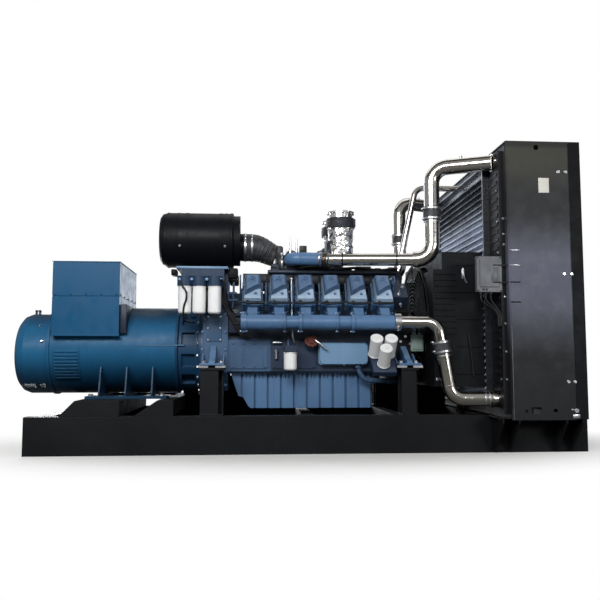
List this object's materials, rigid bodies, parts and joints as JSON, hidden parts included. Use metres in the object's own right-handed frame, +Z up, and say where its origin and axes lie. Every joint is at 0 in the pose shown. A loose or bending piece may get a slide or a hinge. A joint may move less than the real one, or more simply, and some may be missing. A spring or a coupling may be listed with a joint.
{
  "type": "diesel generator set",
  "caption": "Open diesel generator set on a black steel base: blue alternator with terminal box, blue vee engine with air cleaner and polished charge pipes, tall black radiator",
  "frame": {"origin": "middle of the bounding box on the floor, under the set", "axes": "+X from the alternator to the radiator, +Y away from the service side, +Z up"},
  "size_m": [4.426, 1.9, 2.325],
  "materials": {
    "frame_black": "satin",
    "alternator_blue": "satin",
    "engine_blue": "satin",
    "cooler_blue": "satin",
    "mount_steel": "satin",
    "front_black": "satin",
    "pulley_steel": "machined",
    "belt_rubber": "matt",
    "cast_iron": "as cast",
    "exhaust_steel": "heat wrap",
    "polished_steel": "polished",
    "hose_rubber": "matt",
    "cleaner_black": "satin",
    "filter_white": "gloss",
    "louvre_grey": "satin",
    "core_black": "satin",
    "cowl_black": "semi-gloss",
    "box_grey": "satin"
  },
  "bodies": {
    "root": {"base_rails": "frame_black", "base_cross_members": "frame_black", "radiator_supports": "frame_black", "engine_pedestals": "frame_black", "mount_pads": "mount_steel", "mount_brackets": "engine_blue", "alternator_supports": "frame_black", "alternator_frame": "alternator_blue", "alternator_end_housing": "alternator_blue", "alternator_louvres": "alternator_blue", "alternator_adapter": "alternator_blue", "alternator_feet": "alternator_blue", "terminal_box": "alternator_blue", "terminal_box_lid": "alternator_blue", "flywheel_housing": "engine_blue", "crankcase": "engine_blue", "crankcase_covers": "engine_blue", "oil_sump": "engine_blue", "gear_case": "front_black", "front_accessories": "engine_blue", "pulleys": "pulley_steel", "drive_belts": "belt_rubber", "cylinder_heads": "engine_blue", "rocker_covers": "engine_blue", "intake_manifolds": "engine_blue", "exhaust_manifolds": "cast_iron", "turbochargers": "cast_iron", "exhaust_outlets": "exhaust_steel", "compressor_pipes": "engine_blue", "intake_hose": "hose_rubber", "air_cleaner": "cleaner_black", "air_cleaner_bracket": "engine_blue", "spin_on_filters": "filter_white", "oil_cooler_covers": "cooler_blue", "upper_charge_pipes": "polished_steel", "lower_charge_pipes": "polished_steel", "pipe_couplings": "hose_rubber", "fan": "front_black", "fan_guard": "front_black", "fan_shroud": "front_black", "radiator_louvres": "louvre_grey", "radiator_core": "core_black", "radiator_tanks": "core_black", "radiator_cowl": "cowl_black", "control_box": "box_grey"}
  },
  "joints": []
}
